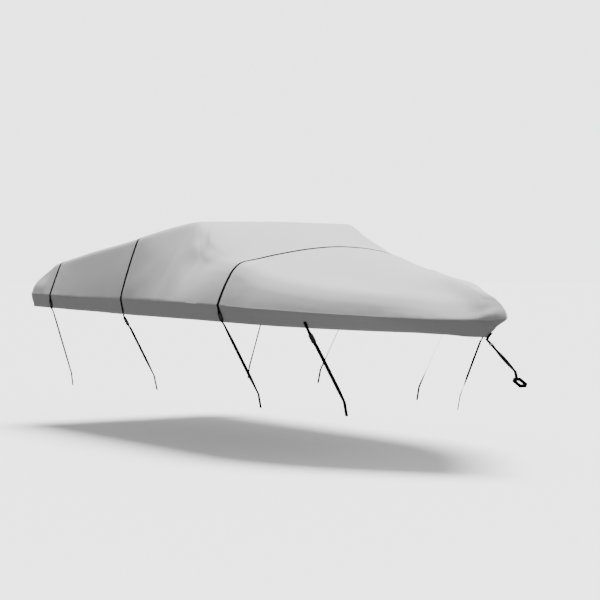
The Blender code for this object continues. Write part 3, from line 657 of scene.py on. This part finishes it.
def webbing_weave(name):
    """Black webbing on the map called strip: u along and v across."""
    made, tree, shader = new_material(name)
    u, v = own_map(tree, "strip")
    edges = band(tree, math_node(tree, "ABSOLUTE", v), SELVEDGE, SELVEDGE_HALF, SELVEDGE_HALF)
    yarns = math_node(tree, "MULTIPLY_ADD", wave(tree, v, YARN_PITCH), 0.4, edges)
    height = math_node(tree, "MULTIPLY_ADD", wave(tree, u, RIB_PITCH), 0.6, yarns)
    rubbed = math_node(tree, "MULTIPLY_ADD", height, 0.25, 0.5)
    wear = math_node(tree, "MULTIPLY", speckle(tree, 60.0, 3.0), rubbed)
    look = {
        "Base Color": mix(tree, wear, WEBBING_BLACK, WEBBING_WORN),
        "Normal": bump(tree, height, 0.7, 0.0003),
        "Roughness": 0.62,
        "Specular IOR Level": 0.0,
    }
    set_inputs(tree, shader, look)
    return made


def moulded_plastic(name):
    """Black acetal with a fine moulded grain."""
    made, tree, shader = new_material(name)
    marks = speckle(tree, 90.0, 4.0)
    look = {
        "Base Color": mix(tree, marks, "161617", "232325"),
        "Normal": bump(tree, speckle(tree, 1800.0, 1.0), 0.25, 0.0002),
        "Roughness": ramp(tree, marks, 0.0, 1.0, 0.30, 0.48),
    }
    set_inputs(tree, shader, look)
    return made


def plated_steel(name):
    """Zinc plated steel with faint scratches."""
    made, tree, shader = new_material(name)
    marks = speckle(tree, 300.0, 5.0)
    look = {
        "Base Color": mix(tree, marks, "B4B4B2", "D2D2D0"),
        "Roughness": ramp(tree, marks, 0.0, 1.0, 0.22, 0.4),
        "Metallic": 1.0,
    }
    set_inputs(tree, shader, look)
    return made


def sewing_thread(name, hex_colour):
    """Bonded polyester thread: twisted, a little shiny."""
    made, tree, shader = new_material(name)
    look = {
        "Base Color": linear(hex_colour),
        "Normal": bump(tree, speckle(tree, 2500.0, 1.0), 0.4, 0.0002),
        "Roughness": 0.5,
    }
    set_inputs(tree, shader, look)
    return made


webbing_surface = webbing_weave("polypropylene webbing, woven, black")
buckle_surface = moulded_plastic("acetal, moulded, black")
slide_surface = plated_steel("steel, zinc plated")
grey_thread = sewing_thread("polyester thread, light grey", "A8A6A7")
black_thread = sewing_thread("polyester thread, black", "2E2E30")

# %% [markdown]
# ## The sheet itself
#
# One grid holds both sides: its first column is the starboard hem, its middle one the
# spine and its last one the port hem. The cloth's own map gives each vertex its place in
# metres along the rail and above it, so that patterns keep their real size.

# %% Cover cloth
DRAWN_CLOTH = 0.0015  # a little thinner than the plain solid
SPINE_COLUMN = HALF.shape[1] - 1


def cloth_place(i, j):
    """Where rib i meets column j of the whole sheet, and its place on the cloth's map."""
    side, column = (-1, j) if j <= SPINE_COLUMN else (1, 2 * SPINE_COLUMN - j)
    points, up, _ = SHAPED[side]
    return points[i, column], (ROWS[i], float(up[i, column]))


def cover_cloth():
    """The cover as one grid, bent to its place and sewn at stern and bow."""
    bm = bent_grid(len(ROWS) - 1, 2 * SPINE_COLUMN, "cloth", cloth_place)
    bmesh.ops.remove_doubles(bm, verts=bm.verts, dist=SAME_POINT)
    bmesh.ops.recalc_face_normals(bm, faces=bm.faces)
    top = max(bm.faces, key=lambda face: face.calc_center_median().z)
    if top.normal.z < 0:
        bmesh.ops.reverse_faces(bm, faces=bm.faces)
    return bm


cloth_bm = cover_cloth()
cloth_area = sum(face.calc_area() for face in cloth_bm.faces)
print("cloth", round(cloth_area, 2), "square metres,", len(cloth_bm.faces), "faces")
cover = add_piece("cover_cloth", cloth_bm, cloth_surface, ["cover"])
thicken(cover, DRAWN_CLOTH, -1)

# %% [markdown]
# ## Straps
#
# Each strap is a strip of webbing that follows a line of points, with a direction across
# it at each point. On the cover it lies on the cloth. Below the skirt it turns a little
# about its own length, because its lower end is fixed at another angle, and it is looped
# round the end bars of its buckle.

# %% Sizes of webbing and buckles
WEBBING = 0.0015
LAY = 0.0004
SKIRT_LIFT = 0.0012  # how far the webbing stands off the skirt, to pass over the hem's roll
HEM_BEND = 0.002
SEWN_RISE, SEWN_MARKS, SEWN_NEXT = 0.050, (0.0, 0.016, 0.032), 0.040
TWIST_RUN = 0.30
TURN_BEND = 0.004
BUCKLE_LENGTH, BUCKLE_DEPTH = 0.060, 0.010
END_BAR = 0.0036
BAR_CORNER, BAR_STEPS = 0.0012, 4
TURNED_BACK = 0.012
BUCKLE_RISE = 0.032
RUN_STEPS = 36
CLOTH_LAY = 2 * LAY + WEBBING / 2
BUCKLE_HEIGHT = BUCKLE_DEPTH / 2 + 2 * LAY + WEBBING
WRAP = END_BAR / 2 + LAY + WEBBING / 2


# %% The line of a strap
def distances(points):
    """How far each point lies from the first, along the line through them."""
    steps = [(b - a).length for a, b in zip(points, points[1:])]
    return np.concatenate([[0.0], np.cumsum(steps)])


class StrapLine:
    """The line that one tie-down follows: down the skirt, then straight to where it turns."""

    def __init__(self, tie, side):
        self.tie, self.side = tie, side
        places = [place_of_station(tie.s + way * HALF_WEB) for way in (-1, 1)]
        ribs = [rib_points(place) for place in places]
        for rib in ribs:
            for point in rib:
                point.y *= side
        aft, forward = ribs
        hem = (aft[0] + forward[0]) / 2
        rail = (aft[RAIL_COLUMN] + forward[RAIL_COLUMN]) / 2
        turn = Vector((tie.turn_s, side * tie.turn_y, tie.turn_z)) + TO_ROW
        end = Vector((tie.turn_s, side * tie.end_y, tie.end_z)) + TO_ROW
        self.flat_across = (forward[RAIL_COLUMN] - aft[RAIL_COLUMN]).normalized()
        self.points = [rail, hem, turn, end]
        self.marks = distances(self.points)

    def twist(self, d):
        """Angle turned by the webbing d metres down, none on the skirt nor past the turn."""
        share = (d - self.marks[1]) / (self.marks[2] - self.marks[1])
        turned = float(np.clip(min(share, 1.0 - share) / TWIST_RUN, 0.0, 1.0))
        return math.radians(self.tie.twist_deg) * turned * turned * (3 - 2 * turned)

    def frame(self, d):
        """Point, direction down the strap, across and outward, d metres below the rail."""
        i = int(np.clip(np.searchsorted(self.marks, d) - 1, 0, 2))
        a, b = self.points[i], self.points[i + 1]
        along = (b - a).normalized()
        across = self.flat_across - along * self.flat_across.dot(along)
        across = Matrix.Rotation(self.twist(d) * self.side, 3, along) @ across.normalized()
        outward = across.cross(along).normalized() * self.side
        return a + along * (d - self.marks[i]), along, across, outward

    def laid(self, places, extra=0.0):
        """Centres and across directions of webbing that lies along the line."""
        frames = [self.frame(d) for d in places]
        centres = [point + outward * (CLOTH_LAY + extra) for point, _, _, outward in frames]
        return centres, [across for _, _, across, _ in frames]

    def wrapped(self, bar, way):
        """The same for webbing round a buckle's end bar; way 1 comes from above."""
        middle = self.tie.buckle_at + BUCKLE_LENGTH / 2
        point, along, across, outward = self.frame(middle)
        near, far = bar - way * WRAP, bar + way * WRAP
        top, under = BUCKLE_HEIGHT + WRAP, BUCKLE_HEIGHT - WRAP
        turns = [math.pi / 2 * k / BAR_STEPS for k in range(BAR_STEPS + 1)]
        cuts = [(BAR_CORNER * (1 - math.sin(a)), BAR_CORNER * (1 - math.cos(a))) for a in turns]
        steps = [(near, top)]
        steps += [(far - way * short, top - drop) for short, drop in cuts]
        steps += [(far - way * short, under + rise) for rise, short in cuts]
        steps += [(near, under), (near - way * TURNED_BACK, under)]
        centres = [point + along * (d - middle) + outward * height for d, height in steps]
        return centres, [across] * len(centres)


def join(first, second):
    """Two runs of webbing, each centres and across directions, end to end."""
    return list(first[0]) + list(second[0]), list(first[1]) + list(second[1])


# %% Strips of webbing
ACROSS_STEPS = 6
EDGE_RADIUS = 0.0004


def webbing_strip(name, run, nodes, closed=False):
    """A strip of webbing along centres, from a flat grid bent to its place."""
    centres, acrosses = run
    if closed:
        centres, acrosses = centres + centres[:1], acrosses + acrosses[:1]
    lengths = distances(centres)

    def placed(i, j):
        off = (2 * j / ACROSS_STEPS - 1) * HALF_WEB
        return centres[i] + acrosses[i].normalized() * off, (float(lengths[i]), off)

    bm = bent_grid(len(centres) - 1, ACROSS_STEPS, "strip", placed)
    if closed:
        bmesh.ops.remove_doubles(bm, verts=bm.verts, dist=SAME_POINT)
    piece = add_piece(name, bm, webbing_surface, nodes, None)
    thicken(piece, WEBBING, 0)
    rounding = piece.modifiers.new("edges", "BEVEL")
    rounding.width = EDGE_RADIUS
    rounding.segments = 2
    rounding.limit_method = "ANGLE"
    rounding.angle_limit = math.radians(60)
    return piece


def over_cloth(tie, side):
    """Webbing on the cloth from the rail to the spine, on the shaped surface."""
    points = SHAPED[side][0]
    row = int(np.argmin(np.abs(np.array(ROWS) - place_of_station(tie.s))))
    normals = surface_normals(points, side)
    centres, acrosses = [], []
    for column in range(RAIL_COLUMN, points.shape[1]):
        aft, middle, forward = (Vector(points[row + k, column]) for k in (-1, 0, 1))
        across = (forward - aft).normalized()
        normal = Vector(normals[row, column])
        if column == points.shape[1] - 1:
            normal.y = 0.0
            normal.normalize()
        lift = max(middle.dot(normal), aft.dot(normal), forward.dot(normal)) - middle.dot(normal)
        centres.append(middle + normal * (CLOTH_LAY + lift))
        acrosses.append(across)
    return centres, acrosses


def top_end(line, sewn_rise=0.0):
    """From the skirt down to the buckle's top bar and round it."""
    top = line.tie.buckle_at
    hem_at = line.marks[1]
    rise_from = top - BUCKLE_RISE
    places = [rise_from * k / 3 for k in (1, 2, 3)]
    if rise_from > hem_at:
        over_hem = [hem_at - HEM_BEND, hem_at + HEM_BEND, rise_from]
        places = [hem_at * k / 4 for k in (1, 2, 3)] + over_hem
    if sewn_rise:
        start = hem_at - sewn_rise
        lower = [d for d in places if d > start + SEWN_NEXT]
        places = [start + mark for mark in SEWN_MARKS] + lower
    return join(line.laid(places, SKIRT_LIFT), line.wrapped(top + END_BAR / 2, 1))


def tie_down(line):
    """From the buckle's bottom bar down to the turn and the free end."""
    bottom = line.tie.buckle_at + BUCKLE_LENGTH
    turn, end = line.marks[2], line.marks[3]
    start = bottom + BUCKLE_RISE
    run = turn - TURN_BEND - start
    places = [start + run * k / RUN_STEPS for k in range(RUN_STEPS + 1)]
    places += [turn + TURN_BEND, (turn + end) / 2, end]
    wrap = line.wrapped(bottom - END_BAR / 2, -1)
    return join([part[::-1] for part in wrap], line.laid(places))


# %% All straps
LINES = {(tie.name, side): StrapLine(tie, side) for tie in TIES for side in SIDES}
for tie in TIES:
    runs = {}
    for side, side_name in SIDES.items():
        line = LINES[tie.name, side]
        place = f"{tie.name}_{side_name}"
        webbing_strip("webbing_tie_" + place, tie_down(line), ["tie_down_" + place])
        if not tie.over:
            webbing_strip("webbing_tab_" + place, top_end(line, SEWN_RISE), ["strap_tab_" + place])
            continue
        upward = [part[::-1] for part in top_end(line)]
        runs[side] = join(upward, over_cloth(tie, side))
    if tie.over:
        port = [part[-2::-1] for part in runs[1]]
        webbing_strip("webbing_over_" + tie.name, join(runs[-1], port), ["over_strap_" + tie.name])
        print(tie.name, "strap over the top, points along it:", len(runs[-1][0]) * 2 - 1)

# %% [markdown]
# ## Buckles
#
# The plain solids already have the right size and openings, so each half is a copy of its
# solid. Loose triangles are merged, flat ones joined to whole faces, and the sharp edges
# get the small radius that a mould leaves. The outer face is set in a little, as on most
# side-release buckles.

# %% Buckles and slide
MOULD_RADIUS, WIRE_RADIUS = 0.0005, 0.0012
PANEL_EDGE, PANEL_DEPTH = 0.0022, 0.0005
SOLID_POINT = 0.00003
FLAT, SHARP = math.radians(2), math.radians(50)


def moulded_copy(node, radius, inset_depth, outward):
    """A copy of a solid with rounded edges and a sunk panel on its outer face."""
    bm = bmesh.new()
    bm.from_mesh(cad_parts[node].data)
    bmesh.ops.remove_doubles(bm, verts=bm.verts, dist=SOLID_POINT)
    bmesh.ops.dissolve_limit(bm, angle_limit=FLAT, verts=bm.verts, edges=bm.edges)
    if inset_depth:
        facing = [face for face in bm.faces if face.normal.dot(outward) > 0.99]
        panel = max(facing, key=lambda face: face.calc_area())
        bmesh.ops.inset_individual(bm, faces=[panel], thickness=PANEL_EDGE, depth=-inset_depth)
    sharp = [edge for edge in bm.edges if edge.is_manifold and edge.calc_face_angle(0.0) > SHARP]
    rounding = {"offset_type": "OFFSET", "affect": "EDGES", "segments": 2, "profile": 0.5}
    bmesh.ops.bevel(bm, geom=sharp, offset=radius, clamp_overlap=True, **rounding)
    return bm


for (tie_name, side), line in LINES.items():
    outward = line.frame(line.tie.buckle_at + BUCKLE_LENGTH / 2)[3]
    for half in ("socket", "plug"):
        node = f"buckle_{half}_{tie_name}_{SIDES[side]}"
        shape = moulded_copy(node, MOULD_RADIUS, PANEL_DEPTH, outward)
        add_piece("moulded_" + node, shape, buckle_surface, [node], math.radians(30))
print("buckle halves:", 2 * len(LINES))

slide = moulded_copy("bow_slide", WIRE_RADIUS, 0.0, Vector((0, 0, 1)))
add_piece("slide_frame", slide, slide_surface, ["bow_slide"], math.radians(30))

# %% [markdown]
# ## The bow strap
#
# It is sewn to the point of the skirt, runs forward and down through a slide, and ends in a
# band. Its upper stretch is seen on edge and its lower one turns its face to the camera, so
# the strip turns about its own length on the way.

# %% Bow strap
PORT = Vector((0.0, 1.0, 0.0))
BAND_AXIS = Vector((0.447, 0.0, 0.894)).normalized()
BAND_IN = Vector((BAND_AXIS.z, 0.0, -BAND_AXIS.x))
BAND_ACROSS, BAND_DEEP, BAND_CORNER = 0.060, 0.083, 0.006
BAND_CENTRE = Vector((5.338, 0.0, -0.484)) + TO_ROW
BOW_TURN = Vector((5.292, 0.0, -0.416)) + TO_ROW
BOW_SEWN = 0.055
BOW_PLAIN = 0.30
BOW_TWIST = math.radians(40)
ROLL_CLEAR = 0.0042
FOLD_DROP, FOLD_REACH = 0.006, 0.005
TAIL_FROM, TAIL_TO = 0.018, 0.085


def bow_runs():
    """Runs of the bow strap, from the skirt to the band, and of its turned-back end."""
    rib = rib_points(KNOTS[-1])
    stem = (rib[0] - rib[RAIL_COLUMN]).normalized()
    outside = Vector((-stem.z, 0.0, stem.x))
    over_roll = outside * ROLL_CLEAR
    at_hem = rib[0] + outside * (CLOTH_LAY + ROLL_CLEAR)
    sewn = [at_hem - stem * (BOW_SEWN * k / 4) - over_roll for k in (4, 3, 2, 1)]
    fold = at_hem + stem * FOLD_DROP
    top_turn = fold + (outside + stem) * FOLD_REACH - over_roll
    free = (BOW_TURN - top_turn).normalized()
    length = (BOW_TURN - top_turn).length
    centres = sewn + [at_hem, fold]
    acrosses = [PORT] * len(centres)
    for k in range(RUN_STEPS + 1):
        share = k / RUN_STEPS
        centres.append(top_turn + free * (length * share))
        turned = max(0.0, min(share - BOW_PLAIN, 1.0 - share) / (0.5 - BOW_PLAIN / 2))
        angle = BOW_TWIST * turned * turned * (3 - 2 * turned)
        acrosses.append(Matrix.Rotation(angle, 3, free) @ PORT)
    on_band = BAND_CENTRE - BAND_IN * (BAND_DEEP / 2 + WEBBING + LAY)
    centres += [on_band + BAND_AXIS * way * HALF_WEB for way in (1, 0, -1)]
    acrosses += [PORT] * 3
    lift = Vector((-free.z, 0.0, free.x)) * (WEBBING + LAY)
    tail = [top_turn + free * (TAIL_FROM + (TAIL_TO - TAIL_FROM) * k / 6) + lift for k in range(7)]
    return (centres, acrosses), (tail, [PORT] * len(tail))


def band_run():
    """Run of the band: a rectangle with rounded corners about its axis."""
    ring = []
    half_in, half_across = BAND_DEEP / 2 - BAND_CORNER, BAND_ACROSS / 2 - BAND_CORNER
    for quarter, (way_in, way_across) in enumerate(((1, 1), (-1, 1), (-1, -1), (1, -1))):
        for k in range(7):
            angle = math.radians(90 * quarter + 15 * k)
            far_in = way_in * half_in + BAND_CORNER * math.cos(angle)
            far_across = way_across * half_across + BAND_CORNER * math.sin(angle)
            ring.append(BAND_CENTRE + BAND_IN * far_in + PORT * far_across)
    return ring, [BAND_AXIS] * len(ring)


strap_run, tail_run = bow_runs()
webbing_strip("webbing_bow", strap_run, ["bow_strap"])
webbing_strip("webbing_bow_tail", tail_run, ["bow_strap_tail"])
webbing_strip("webbing_band", band_run(), ["bow_band"], closed=True)
print("points along the bow strap:", len(strap_run[0]))

# %% [markdown]
# ## Stitches
#
# A seam is what tells sewn cloth from a moulded skin. One stitch is a tiny stretched ball;
# it is copied along a line, turned to it and pressed half into the cloth. The hem has
# one row all round, and the mid and quarter straps each have a box of stitches where they are sewn
# to the skirt.

# %% Rows of stitches
STITCH_LENGTH, STITCH_WIDTH, STITCH_HEIGHT = 0.0036, 0.0009, 0.0008
HEM_LINE, HEM_PITCH = 0.0185, 0.0052


def stitch_row(bm, points, normals, pitch):
    """Adds stitches along a line of points to a bmesh."""
    lengths = distances(points)
    for k in range(int(lengths[-1] / pitch)):
        d = (k + 0.5) * pitch
        i = int(np.clip(np.searchsorted(lengths, d) - 1, 0, len(points) - 2))
        share = (d - lengths[i]) / max(lengths[i + 1] - lengths[i], 1e-9)
        along = (points[i + 1] - points[i]).normalized()
        normal = normals[i].lerp(normals[i + 1], share).normalized()
        across = normal.cross(along).normalized()
        turn = Matrix((along, across, across.cross(along) * -1)).transposed().to_4x4()
        size = Matrix.Diagonal((STITCH_LENGTH / 2, STITCH_WIDTH / 2, STITCH_HEIGHT / 2, 1.0))
        place = Matrix.Translation(points[i].lerp(points[i + 1], share)) @ turn @ size
        bmesh.ops.create_icosphere(bm, subdivisions=1, radius=1.0, matrix=place)


def cloth_line(side, from_hem):
    """Points and normals on the outside of the shaped skirt, a fixed way above the hem."""
    points, _, girth = SHAPED[side]
    normals = surface_normals(points, side)
    line, outs = [], []
    for i in range(len(ROWS)):
        j = int(np.clip(np.searchsorted(girth[i], from_hem) - 1, 0, len(girth[i]) - 2))
        share = (from_hem - girth[i, j]) / (girth[i, j + 1] - girth[i, j])
        line.append(Vector(points[i, j] * (1 - share) + points[i, j + 1] * share))
        outs.append(Vector(normals[i, j]))
    return line, outs


hem_stitches = bmesh.new()
for side in SIDES:
    stitch_row(hem_stitches, *cloth_line(side, HEM_LINE), HEM_PITCH)
print("stitches in the hem:", len(hem_stitches.verts) // 12)
add_piece("hem_stitches", hem_stitches, grey_thread, (), None)


# %% Boxes of stitches on the straps
BOXES = {"mid": (0.022, 0.034), "quarter": (0.030, 0.034)}  # way above the hem, length
BOX_WIDTH, BOX_PITCH = 0.018, 0.0042
FACE = CLOTH_LAY + SKIRT_LIFT + WEBBING / 2


def stitch_box(bm, centre, along, across, normal, length):
    """A sewn box with a cross in it."""
    corners = [
        centre + along * (length / 2 * a) + across * (BOX_WIDTH / 2 * b)
        for a, b in ((-1, -1), (1, -1), (1, 1), (-1, 1))
    ]
    for a, b in ((0, 1), (1, 2), (2, 3), (3, 0), (0, 2), (1, 3)):
        stitch_row(bm, [corners[a], corners[b]], [normal, normal], BOX_PITCH)


strap_stitches = bmesh.new()
for (tie_name, side), line in LINES.items():
    if tie_name in BOXES:
        above_hem, length = BOXES[tie_name]
        point, along, across, outward = line.frame(line.marks[1] - above_hem)
        stitch_box(strap_stitches, point + outward * FACE, along, across, outward, length)
print("stitches on the straps:", len(strap_stitches.verts) // 12)
add_piece("strap_stitches", strap_stitches, black_thread, (), None)

# %% [markdown]

# %% [markdown]
# ## Floor and light
#
# A pale floor and a bright sky stand for a large white studio. The sky is brighter above
# the horizon, so the cloth under the rail falls into shade as it does under a big overhead
# light. One broad lamp brightens the deck, and a glow in the sky ahead of the bow lights
# the surfaces that turn forward.

# %% Floor
FLOOR_Z = -1.70
FLOOR_RADIUS = 150.0
floor_bm = bmesh.new()
bmesh.ops.create_circle(floor_bm, cap_ends=True, segments=96, radius=FLOOR_RADIUS)
bmesh.ops.translate(floor_bm, vec=(0.0, 0.0, FLOOR_Z), verts=floor_bm.verts)
floor_surface, floor_tree, floor_shader = new_material("painted floor, matt, pale")
set_inputs(floor_tree, floor_shader, {"Base Color": linear("F4F4F4"), "Roughness": 0.9})
floor = mesh_object("floor", floor_bm, floor_surface)
floor.visible_diffuse = False
floor.visible_glossy = False

# %% Light
SKY, BELOW = 0.42, 0.29
BACKDROP, AWAY = 2.8, (-0.8415, 0.5402, 0.0)  # behind the cover, as the camera sees it
AHEAD_GLOW, AHEAD = 2.5, (0.782, 0.621, 0.05)
LAMP_POWER, LAMP_SPREAD, LAMP_WAY = 10.2, math.radians(35), Vector((0.129, -0.224, -0.966))
world = bpy.data.worlds.new("studio")
bpy.context.scene.world = world
world.use_nodes = True
sky = world.node_tree
direction = add_node(sky, "ShaderNodeTexCoord").outputs["Generated"]
height = add_node(sky, "ShaderNodeSeparateXYZ", {0: direction}).outputs[2]


def likeness(way):
    """How nearly the sky's direction points one way, from -1 to 1."""
    inputs = {0: direction, 1: way}
    dot = add_node(sky, "ShaderNodeVectorMath", inputs, operation="DOT_PRODUCT")
    return dot.outputs["Value"]


wide = ramp(sky, likeness(AWAY), 0.70, 0.95, 0.0, BACKDROP)
low = ramp(sky, height, 0.20, 0.45, 1.0, 0.0)
glow = ramp(sky, likeness(AHEAD), 0.60, 0.90, 0.0, AHEAD_GLOW)
above = math_node(sky, "ADD", math_node(sky, "MULTIPLY_ADD", wide, low, SKY), glow)
upper = ramp(sky, height, -0.04, -0.01, 0.0, 1.0)
more = math_node(sky, "SUBTRACT", above, BELOW)
strength = math_node(sky, "MULTIPLY_ADD", more, upper, BELOW)
set_inputs(sky, sky.nodes["Background"], {"Strength": strength, "Color": linear("FFFFFF")})

lamp_data = bpy.data.lights.new("key", "SUN")
lamp_data.energy = LAMP_POWER
lamp_data.angle = LAMP_SPREAD
lamp = bpy.data.objects.new("key", lamp_data)
lamp.rotation_euler = LAMP_WAY.to_track_quat("-Z", "Y").to_euler()
bpy.context.collection.objects.link(lamp)
